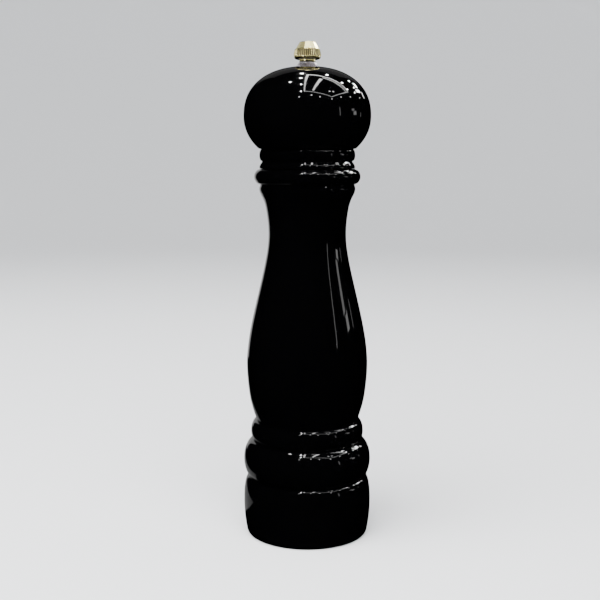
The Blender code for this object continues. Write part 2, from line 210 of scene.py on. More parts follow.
def lamp(name, place, width, brightness):
    """A round lamp, which shows as a dot in the lacquer."""
    power = brightness * math.pi * width * width / 4
    light = area_light(name, place, (width, width), power, diffuse=False)
    light.data.shape = "DISK"


def panel(name, azimuth, elevation, wide, tall, brightness, receivers):
    """A soft box that lights only receivers; its direction and its size are in degrees."""
    size = [2 * PANEL_REACH * math.tan(math.radians(angle) / 2) for angle in (wide, tall)]
    place = direction(azimuth, elevation) * PANEL_REACH + Vector(MIDDLE)
    light = area_light(name, place, size, brightness * size[0] * size[1])
    light.light_linking.receiver_collection = receivers


def make_room_lights():
    """What shows in the black lacquer: a lit ceiling frame, lamps, windows and uprights."""
    corners = [(0.01, 0.44), (1.27, 0.19), (1.07, -0.88), (-0.10, -0.70)]
    for i, side in enumerate(((0.05, 52), (0.05, 28), (0.05, 26), (0.06, 40))):
        ceiling_strip(f"frame_{i}", corners[i], corners[(i + 1) % 4], *side)
    ceiling_strip("frame_inner", (0.25, 0.28), (1.20, 0.07), 0.045, 46)
    ceiling_strip("frame_bar", (0.24, 0.20), (0.17, -0.62), 0.09, 50)
    bright = [
        (-0.07, 0.56), (-0.11, 0.19), (-0.14, -0.21), (-0.20, -0.68), (-0.34, 0.03), (0.29, 0.62),
        (0.69, 0.45), (0.76, 1.11), (1.09, 0.31), (1.13, 0.92), (1.50, 0.73),
    ]
    dim = [
        (-0.37, -1.19), (0.15, -1.03), (0.55, -1.13), (1.25, -1.09), (1.48, -0.51), (0.69, -0.48),
        (0.80, -0.40), (1.80, 0.12), (2.28, 1.31),
    ]
    for kind, places, *look in (("lamp", bright, 0.075, 650), ("dim_lamp", dim, 0.09, 110)):
        for i, place in enumerate(places):
            lamp(f"{kind}_{i}", on_ceiling(*place), *look)
    windows = [
        ((0.92, 1.34), (1.19, 1.35), 0.16, 150),
        ((1.41, 0.99), (1.50, 1.50), 0.22, 140),
        ((1.62, 1.90), (2.44, 2.46), 0.08, 70),
    ]
    for i, window in enumerate(windows):
        ceiling_strip(f"window_{i}", *window)
    uprights = [
        (59.5, 3, 15.5, 0.05, 7), (88.5, 9.3, 12, 0.20, 6), (93, 5, 8.6, 0.22, 7),
        (109, 3, 7, 0.03, 6),
    ]
    for i, (azimuth, low, high, width, brightness) in enumerate(uprights):
        start, end = (
            direction(azimuth, elevation) * UPRIGHT_REACH + Vector((0, 0, UPRIGHT_HEIGHT))
            for elevation in (low, high)
        )
        strip(f"upright_{i}", start, end, width, brightness)
    area_light("back_wall_glow", direction(180, 38) * 2.4, (1.8, 1.2), 0.6, diffuse=False)


def make_rim_lights():
    """The grey rim on the body's left: a lit wall behind it, and the table that it lights."""
    wall = area_light(
        "left_wall_glow", (-0.27, 0.75, 0.2), (0.36, 0.5), 0.29, (0, 0, 0.12), diffuse=False
    )
    table = strip(
        "table_glow", (-0.045, 0.012, 0.004), (-0.19, 0.62, 0.004), 0.07, 0.8, (-0.12, 0.32, 1)
    )
    body = bpy.data.collections.new("body_piece")
    body.objects.link(bpy.data.objects["mill_body_wood"])
    for glow in (wall, table):
        glow.light_linking.receiver_collection = body


def make_metal_lights():
    """Soft boxes that only metal sees: azimuth, elevation, width, height and brightness."""
    metal_pieces = bpy.data.collections.new("metal_pieces")
    for piece in bpy.data.objects:
        if piece.get("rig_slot", "black_lacquered_wood") != "black_lacquered_wood":
            metal_pieces.objects.link(piece)
    boxes = [
        (-150, 12, 26, 40, 2.6), (-98, 18, 40, 30, 3.0), (-79, 50, 34, 26, 2.0),
        (-60, 18, 26, 30, 3.6), (-38, 16, 9, 36, 24), (-18, 16, 22, 26, 4.0),
        (8, 14, 24, 22, 3.6), (0, 60, 30, 26, 12), (34, 18, 20, 30, 4.2),
        (58, 18, 18, 30, 3.0), (79, 49, 26, 24, 10), (84, 14, 18, 26, 3.4),
        (125, 14, 12, 40, 20), (138, 30, 16, 20, 8), (160, 22, 24, 40, 1.6),
        (-136, 28, 16, 20, 1.6),
    ]
    for i, box in enumerate(boxes):
        panel(f"metal_panel_{i}", *box, metal_pieces)


def make_lights():
    area_light("soft_key", (-0.3, -0.7, 1.1), (2.0, 1.6), 98, glossy=False)
    area_light("soft_wall", (0, 0.5, 1.0), (1.8, 1.0), 7, (0, 2.5, 0.2), glossy=False)
    area_light("soft_rear", (0, 0.3, 1.9), (2.0, 1.0), 13, (0, -2.6, 0.6), glossy=False)
    make_room_lights()
    make_rim_lights()
    make_metal_lights()


def make_world():
    """An even grey light that the lacquer doesn't mirror."""
    colour, strength = (0.80, 0.82, 0.85), 0.23
    world = bpy.data.worlds.new("world")
    world.use_nodes = True
    background = world.node_tree.nodes["Background"]
    background.inputs["Color"].default_value = (*colour, 1)
    background.inputs["Strength"].default_value = strength
    world.cycles_visibility.glossy = False
    bpy.context.scene.world = world


# ---------------------------------------------------------------- outlines


def quarter(crest, end, power=2.0, steps=24):
    """Points from crest to end along a superellipse quarter; power 2 is an ellipse."""
    points = []
    for i in range(steps + 1):
        turn = math.radians(90) * i / steps
        across = math.cos(turn) ** (2 / power) if i < steps else 0.0
        along = math.sin(turn) ** (2 / power)
        points.append((
            end[0] + (crest[0] - end[0]) * across,
            crest[1] + (end[1] - crest[1]) * along,
        ))
    return points


def bead(low, crest, high, steps=14):
    """Points up a round bead between two grooves."""
    return quarter(crest, low, steps=steps)[::-1] + quarter(crest, high, steps=steps)[1:]


def bow(crest, end, steps=16):
    """Points from crest to end along a parabola, which leaves the crest upright."""
    points = []
    for i in range(steps + 1):
        t = i / steps
        points.append((crest[0] - (crest[0] - end[0]) * t * t, crest[1] + (end[1] - crest[1]) * t))
    return points


def through(knots, steps=8):
    """Points up a natural cubic spline, radius over height, through the knots."""
    radii, heights = np.array(knots).T
    spans = np.diff(heights)
    slopes = np.diff(radii) / spans
    matrix = np.eye(len(knots))
    wanted = np.zeros(len(knots))
    for i in range(1, len(knots) - 1):
        matrix[i, i - 1 : i + 2] = spans[i - 1], 2 * (spans[i - 1] + spans[i]), spans[i]
        wanted[i] = 6 * (slopes[i] - slopes[i - 1])
    bends = np.linalg.solve(matrix, wanted)
    points = []
    for i, span in enumerate(spans):
        for k in range(steps):
            b = k / steps
            a = 1 - b
            curved = ((a**3 - a) * bends[i] + (b**3 - b) * bends[i + 1]) * span * span / 6
            points.append((a * radii[i] + b * radii[i + 1] + curved, heights[i] + b * span))
    return [*points, knots[-1]]


def eased(outline, size=0.25, closed=False, steps=3):
    """The outline with each corner rounded off over about size."""
    count = len(outline)
    points = []
    for i, corner in enumerate(outline):
        if not closed and i in (0, count - 1):
            points.append(corner)
            continue
        here = np.array(corner, float)
        before = np.array(outline[i - 1], float) - here
        after = np.array(outline[(i + 1) % count], float) - here
        reach = min(size, 0.45 * np.linalg.norm(before), 0.45 * np.linalg.norm(after))
        start = here + before / np.linalg.norm(before) * reach
        end = here + after / np.linalg.norm(after) * reach
        for k in range(steps + 1):
            t = k / steps
            points.append(tuple((1 - t) ** 2 * start + 2 * t * (1 - t) * here + t * t * end))
    return points


# ---------------------------------------------------------------- mesh helpers


def angles(columns):
    return TAU * np.arange(columns) / columns


def ring(radius, height, columns=96, centre=(0, 0)):
    """One row of points round the axis; radius and height are numbers or one number a column."""
    turn = angles(columns)
    x = centre[0] + radius * np.cos(turn)
    y = centre[1] + radius * np.sin(turn)
    return np.stack([x, y, np.broadcast_to(height, turn.shape)], axis=1)


def skin(name, rows, closed=True, capped=False):
    """A mesh over rows of points. Closed joins the last row to the first; capped fills the ends."""
    points = np.array(rows) * MM
    count, columns = points.shape[:2]
    index = np.arange(count * columns).reshape(count, columns)
    beside = np.roll(index, -1, axis=1)
    above = np.roll(index, -1, axis=0)
    above_beside = np.roll(beside, -1, axis=0)
    quads = np.stack([index, beside, above_beside, above], axis=2)
    if not closed:
        quads = quads[:-1]
    faces = quads.reshape(-1, 4).tolist()
    if capped:
        faces += [index[0][::-1].tolist(), index[-1].tolist()]
    mesh = bpy.data.meshes.new(name)
    mesh.from_pydata(points.reshape(-1, 3).tolist(), [], faces)
    bm = bmesh.new()
    bm.from_mesh(mesh)
    bmesh.ops.remove_doubles(bm, verts=bm.verts, dist=1e-7)
    bmesh.ops.recalc_face_normals(bm, faces=bm.faces)
    bm.to_mesh(mesh)
    bm.free()
    made = bpy.data.objects.new(name, mesh)
    bpy.context.scene.collection.objects.link(made)
    return made


def turned(name, outline, columns):
    """A closed outline spun round the mill's axis."""
    return skin(name, [ring(r, z, columns) for r, z in outline])


def pin(r, low, high, at, columns=40):
    """A round cutter."""
    return skin("cutter", [ring(r, z, columns, at) for z in (low, high)], False, True)


def slab(outline, low, high, bevel=0.0, name="cutter"):
    """A flat piece over a convex outline of (x, y) points, with its edges rounded by bevel."""
    flat = np.array(outline, float)
    along = np.roll(flat, -1, axis=0) - np.roll(flat, 1, axis=0)
    inward = np.stack([-along[:, 1], along[:, 0]], axis=1)
    inward /= np.linalg.norm(inward, axis=1, keepdims=True)
    rows = []
    steps = 4 if bevel else 0
    for end, way in ((low, 1), (high, -1)):
        rounds = []
        for k in range(steps + 1):
            turn = math.radians(90) * k / steps if steps else 0.0
            edge = flat + inward * bevel * (1 - math.sin(turn))
            height = end + way * bevel * (1 - math.cos(turn))
            rounds.append(np.column_stack([edge, np.full(len(edge), height)]))
        rows += rounds if way > 0 else rounds[::-1]
    return skin(name, rows, False, True)


def oblong(length, width, corner, steps=8, turn=0.0, at=(0, 0)):
    """Points round a rectangle with round corners."""
    points = []
    for i, (sx, sy) in enumerate(((1, 1), (-1, 1), (-1, -1), (1, -1))):
        for k in range(steps + 1):
            angle = math.radians(90) * (i + k / steps)
            x = sx * (length / 2 - corner) + corner * math.cos(angle)
            y = sy * (width / 2 - corner) + corner * math.sin(angle)
            points.append((
                at[0] + x * math.cos(turn) - y * math.sin(turn),
                at[1] + x * math.sin(turn) + y * math.cos(turn),
            ))
    return points


def carve(target, others, operation="DIFFERENCE"):
    """Cuts the others from the target, or joins them to it, and removes them."""
    for other in others:
        modifier = target.modifiers.new("carve", "BOOLEAN")
        modifier.operation = operation
        modifier.solver = "EXACT"
        modifier.object = other
    bpy.context.view_layer.update()
    result = target.evaluated_get(bpy.context.evaluated_depsgraph_get())
    mesh = bpy.data.meshes.new_from_object(result)
    target.modifiers.clear()
    target.data = mesh
    for other in others:
        bpy.data.objects.remove(other)


def finish_piece(piece, body, node, slot, materials, sharp=32, pick=None):
    """Shades a piece, gives it its materials and makes it ride on its body in its node's place."""
    mesh = piece.data
    mesh.materials.clear()
    for material in materials:
        mesh.materials.append(material)
    if pick:
        for face in mesh.polygons:
            centre = face.center / MM
            outward = Vector((centre.x, centre.y, 0)).dot(face.normal)
            r = math.hypot(centre.x, centre.y)
            face.material_index = pick(r, centre.z, outward, face.normal.z)
    mesh.shade_smooth()
    mesh.set_sharp_from_angle(angle=math.radians(sharp))
    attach(piece, body)
    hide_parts(node)
    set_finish(piece, slot)


def ramp(value, low, high):
    """0 below low, 1 above high, and a smooth rise between."""
    t = np.clip((value - low) / (high - low), 0, 1)
    return t * t * (3 - 2 * t)


def square_radius(across, corner, columns):
    """Radius of a square hole or bar with cut corners, for each column."""
    turn = angles(columns)
    half = across / 2
    sides = half / np.maximum(np.abs(np.cos(turn)), np.abs(np.sin(turn)))
    cut = (2 * half - corner) / (np.abs(np.cos(turn)) + np.abs(np.sin(turn)))
    return np.minimum(sides, cut)


def helix(height, pitch, columns):
    """Where each column stands in the thread's turn at this height, from 0 to 1."""
    return (height / pitch - angles(columns) / TAU) % 1.0


def thread_depth(height, pitch, columns):
    """0 at the thread's crest and 1 at its root, with flats at both."""
    return np.clip(np.abs(helix(height, pitch, columns) * 2 - 1) * 1.6 - 0.25, 0, 1)


# ---------------------------------------------------------------- finishes


class Finish:
    """A Principled material, with short calls for the nodes that vary it over the surface."""

    def __init__(self, name, **values):
        self.material = bpy.data.materials.new(name)
        self.material.use_nodes = True
        self.tree = self.material.node_tree
        self.shader = self.tree.nodes["Principled BSDF"]
        self.place = self.node("ShaderNodeTexCoord").outputs["Object"]
        for key, value in values.items():
            self.set(self.shader, key.replace("_", " "), value)

    def set(self, node, key, value):
        socket = node.inputs[key]
        if isinstance(value, bpy.types.NodeSocket):
            self.tree.links.new(value, socket)
        elif socket.type == "RGBA" and len(value) == 3:
            socket.default_value = (*value, 1)
        else:
            socket.default_value = value

    def node(self, kind, inputs=None, **settings):
        node = self.tree.nodes.new(kind)
        for key, value in settings.items():
            setattr(node, key, value)
        for key, value in (inputs or {}).items():
            self.set(node, key, value)
        return node

    def math(self, operation, a, b=0.0, c=0.0):
        return self.node("ShaderNodeMath", {0: a, 1: b, 2: c}, operation=operation).outputs[0]

    def stretched(self, scale):
        """The surface's own coordinates, scaled differently along each axis."""
        inputs = {0: self.place, 1: scale}
        return self.node("ShaderNodeVectorMath", inputs, operation="MULTIPLY").outputs[0]

    def noise(self, scale, vector=None, detail=3.0, roughness=0.5, distortion=0.0):
        inputs = {
            "Vector": vector or self.place,
            "Scale": scale,
            "Detail": detail,
            "Roughness": roughness,
            "Distortion": distortion,
        }
        return self.node("ShaderNodeTexNoise", inputs).outputs["Fac"]

    def range(self, value, low, high, to_low, to_high):
        inputs = {
            "Value": value, "From Min": low, "From Max": high, "To Min": to_low, "To Max": to_high
        }
        return self.node("ShaderNodeMapRange", inputs, clamp=True).outputs["Result"]

    def mix(self, share, a, b):
        node = self.node("ShaderNodeMix", data_type="RGBA")
        for socket, value in ((node.inputs[0], share), (node.inputs[6], a), (node.inputs[7], b)):
            if isinstance(value, bpy.types.NodeSocket):
                self.tree.links.new(value, socket)
            else:
                socket.default_value = (*value, 1) if socket.type == "RGBA" else value
        return node.outputs[2]

    def axis_distance(self):
        """Distance from the mill's axis in metres, for marks that run round a flat face."""
        flat = self.stretched((1, 1, 0))
        return self.node("ShaderNodeVectorMath", {0: flat}, operation="LENGTH").outputs["Value"]

    def turning(self, scale, swirl=400.0):
        """Fine marks round the axis, on sides and flat faces alike, as a turned surface has."""
        parts = self.node("ShaderNodeSeparateXYZ", {0: self.place}).outputs
        along = self.math("ADD", self.axis_distance(), parts["Z"])
        inputs = {
            "X": self.math("MULTIPLY", parts["X"], swirl),
            "Y": self.math("MULTIPLY", parts["Y"], swirl),
            "Z": self.math("MULTIPLY", along, scale),
        }
        vector = self.node("ShaderNodeCombineXYZ", inputs).outputs[0]
        return self.noise(1.0, vector, detail=4.0, roughness=0.65)

    def attribute(self, name):
        return self.node("ShaderNodeAttribute", attribute_name=name).outputs["Fac"]

    def bump(self, *layers):
        """Bumps one over another, each (height, depth in metres)."""
        normal = None
        for height, depth in layers:
            inputs = {"Height": height, "Distance": depth, "Strength": 1.0}
            if normal:
                inputs["Normal"] = normal
            normal = self.node("ShaderNodeBump", inputs).outputs[0]
        self.set(self.shader, "Normal", normal)

    def paint(self, key, value):
        self.set(self.shader, key, value)


def lacquer(name, colour, rough, coat_rough, scuffs):
    """Black paint under a clear coat, with the wood's grain and turning marks just telling."""
    finish = Finish(name, Coat_Weight=1.0, Coat_Roughness=coat_rough, Coat_IOR=1.5)
    finish.paint("Specular IOR Level", 0.1)
    cloud = finish.noise(45.0, detail=4.0)
    dust = finish.noise(900.0, detail=2.0)
    scuffed = finish.range(finish.noise(160.0, detail=6.0, roughness=0.7), 0.60, 0.75, 0.0, scuffs)
    worn = tuple(4.0 * c + 0.012 for c in colour)
    finish.paint("Base Color", finish.mix(scuffed, colour, worn))
    blend = finish.math("ADD", finish.range(cloud, 0.35, 0.7, rough, rough + 0.06), scuffed)
    finish.paint("Roughness", finish.math("ADD", blend, finish.range(dust, 0.6, 0.8, 0.0, 0.08)))
    peel = finish.noise(260.0, detail=1.5)
    grain = finish.noise(1.0, finish.stretched((1500, 1500, 55)), detail=3.0)
    rings = finish.turning(900.0, 60.0)
    finish.bump((peel, 1.6e-5), (grain, 1.6e-6), (rings, 1.2e-6))
    coat_normal = finish.node("ShaderNodeBump", {"Height": peel, "Distance": 1.6e-5}).outputs[0]
    finish.paint("Coat Normal", coat_normal)
    return finish.material


def raw_wood():
    """Beech left bare inside: growth rings cut lengthways, short rays, pores and tool marks."""
    finish = Finish("raw_beech")
    bent = finish.noise(18.0, finish.stretched((1, 1, 0.25)), detail=2.0)
    parts = finish.node("ShaderNodeSeparateXYZ", {0: finish.place}).outputs
    pith_x = finish.math("ADD", parts["X"], 0.048)
    pith_y = finish.math("ADD", parts["Y"], -0.031)
    flat = finish.node("ShaderNodeCombineXYZ", {"X": pith_x, "Y": pith_y}).outputs[0]
    reach = finish.node("ShaderNodeVectorMath", {0: flat}, operation="LENGTH").outputs["Value"]
    wavy = finish.math("MULTIPLY_ADD", bent, 0.006, reach)
    years = finish.math("FRACT", finish.math("MULTIPLY", wavy, 520.0))
    late = finish.range(years, 0.55, 1.0, 0.0, 1.0)
    fibre = finish.noise(1.0, finish.stretched((2600, 2600, 70)), detail=4.0, roughness=0.6)
    pores = finish.range(finish.noise(1.0, finish.stretched((5200, 5200, 420))), 0.60, 0.72, 0, 1)
    patch = finish.noise(30.0, detail=3.0)
    early = finish.mix(finish.range(patch, 0.3, 0.7, 0, 1), (0.34, 0.205, 0.10), (0.40, 0.25, 0.13))
    ringed = finish.mix(finish.math("MULTIPLY", late, 0.55), early, (0.24, 0.125, 0.055))
    streaked = finish.mix(finish.range(fibre, 0.3, 0.75, 0.0, 0.35), ringed, (0.46, 0.31, 0.175))
    pitted = finish.mix(finish.math("MULTIPLY", pores, 0.7), streaked, (0.20, 0.11, 0.05))
    finish.paint("Base Color", pitted)
    finish.paint("Roughness", finish.range(fibre, 0.3, 0.7, 0.55, 0.78))
    finish.paint("Specular IOR Level", 0.35)
    finish.bump((fibre, 6e-5), (finish.turning(2200.0), 5e-5))
    return finish.material


def metal(name, colour, dark, rough, spread, marks=2500.0, depth=2e-6, smudge=0.35):
    """Bare or plated metal: tool marks round the axis, smudges, and painted shade in its hollows.
    """
    finish = Finish(name, Metallic=1.0)
    turned_marks = finish.turning(marks)
    cloud = finish.noise(420.0, detail=5.0, roughness=0.6)
    hollow_shade = finish.attribute("hollow_shade")
    film = finish.math("MULTIPLY", finish.range(cloud, 0.45, 0.75, 0.0, 1.0), smudge)
    smudge_and_painted_shade = finish.math("MAXIMUM", film, hollow_shade)
    # Painted shade: the per-vertex mark darkens the colour in hollows where shade falls, and the
    # cloud adds real smudges over it.
    finish.paint("Base Color", finish.mix(smudge_and_painted_shade, colour, dark))
    fine = finish.range(turned_marks, 0.3, 0.7, rough, rough + spread)
    finish.paint("Roughness", finish.math("MULTIPLY_ADD", smudge_and_painted_shade, 0.18, fine))
    pits = finish.noise(3200.0, detail=2.0)
    finish.bump((turned_marks, depth), (pits, depth * 0.6))
    return finish.material


def drawn_metal(name, colour, dark, rough):
    """An extruded or rolled bar: die lines along it, small handling scratches, clouding, and
    painted shade in its hollows.
    """
    finish = Finish(name, Metallic=1.0)
    lines = finish.noise(1.0, finish.stretched((9000, 9000, 25)), detail=3.0)
    cloud = finish.noise(300.0, detail=5.0)
    nicks = finish.range(finish.noise(1400.0, detail=6.0, distortion=1.5), 0.66, 0.72, 0, 1)
    clouded = finish.range(cloud, 0.5, 0.8, 0.0, 0.6)
    # Painted shade: the per-vertex mark darkens the colour in hollows where shade falls; the cloud
    # is real clouding.
    clouding_and_painted_shade = finish.math("MAXIMUM", clouded, finish.attribute("hollow_shade"))
    finish.paint("Base Color", finish.mix(clouding_and_painted_shade, colour, dark))
    drawn = finish.range(lines, 0.3, 0.7, rough, rough + 0.14)
    finish.paint("Roughness", finish.math("MULTIPLY_ADD", nicks, 0.15, drawn))
    finish.bump((lines, 3e-6), (nicks, 5e-6))
    return finish.material


def burr_metal():
    """Hardened grinding steel: blued and mottled, bright where the teeth are cut."""
    finish = Finish("hardened_burr_steel", Metallic=1.0)
    mottle = finish.noise(700.0, detail=6.0, roughness=0.65)
    heat = finish.noise(120.0, detail=3.0)
    blued, straw = (0.17, 0.17, 0.18), (0.20, 0.165, 0.14)
    tinted = finish.mix(finish.range(heat, 0.35, 0.65, 0, 1), blued, straw)
    speckled = finish.mix(finish.range(mottle, 0.4, 0.7, 0.0, 0.6), tinted, (0.08, 0.08, 0.085))
    edge = finish.attribute("edge")
    finish.paint("Base Color", finish.mix(edge, speckled, (0.55, 0.54, 0.52)))
    finish.paint("Roughness", finish.range(mottle, 0.3, 0.7, 0.30, 0.52))
    finish.bump((mottle, 2e-5))
    return finish.material


GLOSS_BLACK = lacquer("gloss_black_lacquer", (0.0004, 0.0004, 0.0005), 0.05, 0.016, 0.0)
FOOT_BLACK = lacquer("foot_black_lacquer", (0.003, 0.003, 0.0032), 0.34, 0.22, 0.5)
RAW_WOOD = raw_wood()
BRASS = metal("polished_brass", (0.78, 0.70, 0.32), (0.10, 0.075, 0.05), 0.09, 0.12, smudge=0.12)
ZINC = metal("zinc_plated_steel", (0.68, 0.65, 0.70), (0.16, 0.13, 0.17), 0.20, 0.16)
PRESSED_ZINC = metal(
    "zinc_plated_pressing", (0.63, 0.62, 0.60), (0.36, 0.34, 0.28), 0.26, 0.16, 700.0
)
ALUMINIUM = drawn_metal("aluminium_bar_finish", (0.78, 0.78, 0.79), (0.48, 0.47, 0.46), 0.22)
SPRING_STEEL = drawn_metal("spring_steel_finish", (0.46, 0.46, 0.47), (0.22, 0.20, 0.18), 0.18)
BURR_STEEL = burr_metal()


# ---------------------------------------------------------------- wood

BODY_TOP, HEAD_TOP = top("wood_body"), top("wood_head")
HEAD_LIP = BODY_TOP + 0.3
BODY_RADIUS = radius("wood_body")
JOINT_RADIUS, LACQUERED = 24.2, 14.0  # the joint's faces are lacquered in to LACQUERED
CHAMBER, RECESS, SHOULDER = 13.5, 20.0, 26.0
TENON, TENON_BOTTOM = 13.1, bottom("wood_head")
PILOT, STATOR_SCREW_RING = 1.5, 17.2
STATOR_SCREWS = [
    (STATOR_SCREW_RING * math.cos(math.radians(a)), STATOR_SCREW_RING * math.sin(math.radians(a)))
    for a in (90, 210, 330)
]
BAR_SCREWS = [(-24.3, 0), (24.3, 0)]
TURN_PLATE_SCREWS = [(-8.8, 0), (8.8, 0)]
WOOD_COLUMNS = 192
SQUARE_HOLE, SQUARE_CORNER = 6.7, 0.3


def pilots(low, high, places):
    """Cutters for screw holes."""
    return [pin(PILOT, low, high, at) for at in places]


def body_outline():
    """The outer side of the body, from the bottom up."""
    crest = (BODY_RADIUS, 16.6)
    groove_1, groove_2, groove_3 = (29.4, 30.7), (27.5, 49.8), (26.4, 60.1)
    foot = [(30.4, 0.0), (30.7, 0.06), (31.0, 0.2), (31.25, 0.45), (31.4, 0.7), (31.6, 1.1)]
    base = bow(crest, (31.7, 1.4))[::-1] + quarter(crest, groove_1, 2.5)[1:]
    large_bead = bead(groove_1, (33.1, 39.5), groove_2)
    small_bead = bead(groove_2, (29.3, 54.1), groove_3)
    trunk = through([
        groove_3, (27.8, 64.4), (29.2, 69.4), (30.65, 78.9), (31.25, 90.4), (29.6, 106.1),
        (26.0, 122.9), (22.15, 139.5), (19.8, 155.9), (20.8, 168.3), (22.6, 174.9), (24.4, 180.0),
        (23.9, 181.9),
    ])
    joint = (JOINT_RADIUS, BODY_TOP - 0.25)
    ring_bead = bead((23.5, 182.0), (26.95, 185.9), joint)
    return [*foot, *base, *large_bead[1:], *small_bead[1:], *trunk[1:], *ring_bead]


def body_finish(r, z, outward, up):
    """0 for gloss outside, 1 for the satin foot, 2 for bare wood inside."""
    chamber = r < LACQUERED or r < RECESS + 1 and z < SHOULDER + 1
    if chamber or 1 < z < 4 and abs(up) > 0.5:
        return 2
    return 1 if z < 0.3 or z < 4 and outward < -1 else 0


def make_body():
    inside = eased([
        (JOINT_RADIUS, BODY_TOP), (CHAMBER, BODY_TOP), (CHAMBER, SHOULDER), (RECESS, SHOULDER),
        (RECESS, 0), (30.4, 0),
    ])
    outline = body_outline() + inside[:-1]
    body = turned("mill_body_wood", outline, WOOD_COLUMNS)
    slot = oblong(57.2, 10.0, 2.5)
    holes = pilots(SHOULDER - 2, 37, STATOR_SCREWS) + pilots(1, 15, BAR_SCREWS)
    carve(body, [slab(slot, -2, 3.6), *holes])
    finishes = [GLOSS_BLACK, FOOT_BLACK, RAW_WOOD]
    finish_piece(
        body, "mill_body", "wood_body", "black_lacquered_wood", finishes, 38, body_finish
    )


def head_outline():
    """The outer side of the head, from the joint with the body up to the flat under the knob."""
    groove, cove = (23.1, 199.7), (22.75, 193.7)
    lip = [
        (24.05, HEAD_LIP), (24.18, HEAD_LIP + 0.12), (24.2, HEAD_LIP + 0.4), (24.1, 191.3),
        (23.6, 192.3), (23.05, 193.15),
    ]
    neck_bead = bead(cove, (24.25, 196.5), groove)
    crest = (radius("wood_head"), 215.9)
    lower = [point for point in quarter(crest, (0, 191.6), 2.05, 96) if point[1] > groove[1] + 0.1]
    flat = 8.0
    upper = [point for point in quarter(crest, (0, 240.75), 2.3, 96) if point[0] > flat + 0.2]
    return [*lip, *neck_bead, *lower[::-1], *upper[1:], (flat, HEAD_TOP), (3.3, HEAD_TOP)]


def make_head():
    bore = eased([
        (3.3, HEAD_TOP), (3.0, HEAD_TOP - 0.3), (3.0, 233.9), (4.2, 233.9), (4.2, TENON_BOTTOM),
        (TENON, TENON_BOTTOM), (TENON, HEAD_LIP - 1.5), (TENON, HEAD_LIP), (24.05, HEAD_LIP),
    ])
    head = turned("mill_head_wood", head_outline() + bore[1:-1], WOOD_COLUMNS)
    carve(head, pilots(TENON_BOTTOM - 2, 185.9, TURN_PLATE_SCREWS))

    def head_finish(r, z, outward, up):
        """0 for gloss outside, 1 for the bare tenon and bores."""
        return 1 if r < LACQUERED and z < HEAD_LIP - 1.2 or outward < 0 and r < 5 else 0

    finishes = [GLOSS_BLACK, RAW_WOOD]
    finish_piece(head, "head", "wood_head", "black_lacquered_wood", finishes, 38, head_finish)


# ---------------------------------------------------------------- knob

THREAD, THREAD_PITCH = 2.5, 0.8


def mark(piece, name, values):
    """Stores one number a vertex, for a finish to read."""
    attribute = piece.data.attributes.new(name, "FLOAT", "POINT")
    attribute.data.foreach_set("value", np.asarray(values, np.float32))


def polar(piece):
    """Radius, angle and height of every vertex, in millimetres and radians."""
    flat = np.zeros(len(piece.data.vertices) * 3)
    piece.data.vertices.foreach_get("co", flat)
    x, y, z = flat.reshape(-1, 3).T / MM
    return np.hypot(x, y), np.arctan2(y, x), z


def reed_valley(turn):
    """0 on the crest of a reed and 1 in the valley between two."""
    return np.clip(1.4 * (0.5 - 0.5 * np.cos(turn)) ** 0.8, 0, 1)


def make_knob():
    """A faceted cone over a finely reeded band, a smooth round underside and a short neck."""
    columns, reeds, facets = 480, 40, 12
    low, high = bottom("knob"), top("knob")
    widest = radius("knob")
    turn = angles(columns)
    band_bottom, band_top = 245.65, 248.95
    valley = reed_valley(reeds * turn)
    facet_turn = (turn + math.pi / facets) % (TAU / facets) - math.pi / facets
    flat_side = math.cos(math.pi / facets) / np.cos(facet_turn)
    rows = []

    def add(radius_row, height):
        rows.append(ring(radius_row, height, columns))

    bore, bore_top = 2.85, 250.0
    add(0.0, bore_top)
    add(bore - 0.8, bore_top - 0.1)
    steps = int((bore_top - 0.6 - low) / THREAD_PITCH * 8)
    for i in range(steps + 1):
        height = bore_top - 0.6 - (bore_top - 0.9 - low) * i / steps
        depth = thread_depth(height, THREAD_PITCH, columns)
        add(bore - 0.18 * (1 - depth), height)
    add(bore + 0.25, low)
    neck, neck_top = 4.08, 243.9
    for point in eased([(bore + 0.25, low), (neck, low), (neck, neck_top)], 0.3)[1:-1]:
        add(*point)
    for point in quarter((widest - 0.1, 245.2), (neck, neck_top), 2.2, 14)[::-1]:
        add(*point)
    add(widest - 0.1, band_bottom - 0.12)
    band_steps, cone_steps = 28, 8
    for i in range(band_steps + 1):
        t = i / band_steps
        fade = min(1.0, t / 0.06, (1 - t) / 0.06)
        barrel = widest - 0.55 * t**2.2
        add(barrel - 0.36 * valley * fade, band_bottom + (band_top - band_bottom) * t)
    shoulder, tip = 5.95, 4.0
    add(shoulder, band_top + 0.12)
    cone_bottom, cone_top = band_top + 0.3, high - 0.3
    for i in range(cone_steps + 1):
        t = i / cone_steps
        cone = shoulder - 0.05 + (tip - shoulder + 0.05) * t
        add(cone * flat_side, cone_bottom + (cone_top - cone_bottom) * t)
    for inset, drop in ((0.05, 0.18), (0.15, 0.08), (0.32, 0.02), (0.5, 0.0)):
        add((tip - inset) * flat_side, high - drop)
    add(0.0, high)
    knob = skin("knob_brass", rows, closed=False)
    r, angle, z = polar(knob)
    # Painted shade for the brass: darker in the reed valleys, under the band and inside the bore.
    below_top = 1 - ramp(z, band_top - 0.3, band_top + 0.05)
    banded = ramp(z, band_bottom - 0.05, band_bottom + 0.3) * below_top
    undercut = 0.45 * ramp(z, 243.8, 244.2) * (1 - ramp(z, 245.2, 245.7))
    inside = 0.6 * (r < bore + 0.05)
    reeding = 0.95 * reed_valley(reeds * angle) * banded * (r > 5)
    mark(knob, "hollow_shade", np.maximum.reduce([reeding, undercut, inside]))
    finish_piece(knob, "knob", "knob", "polished_brass", [BRASS], 26)


def tooth_gap(turn):
    """0 on the crown of a tooth and 1 between two."""
    return 1 - np.clip(0.5 + 0.9 * np.cos(turn), 0, 1)


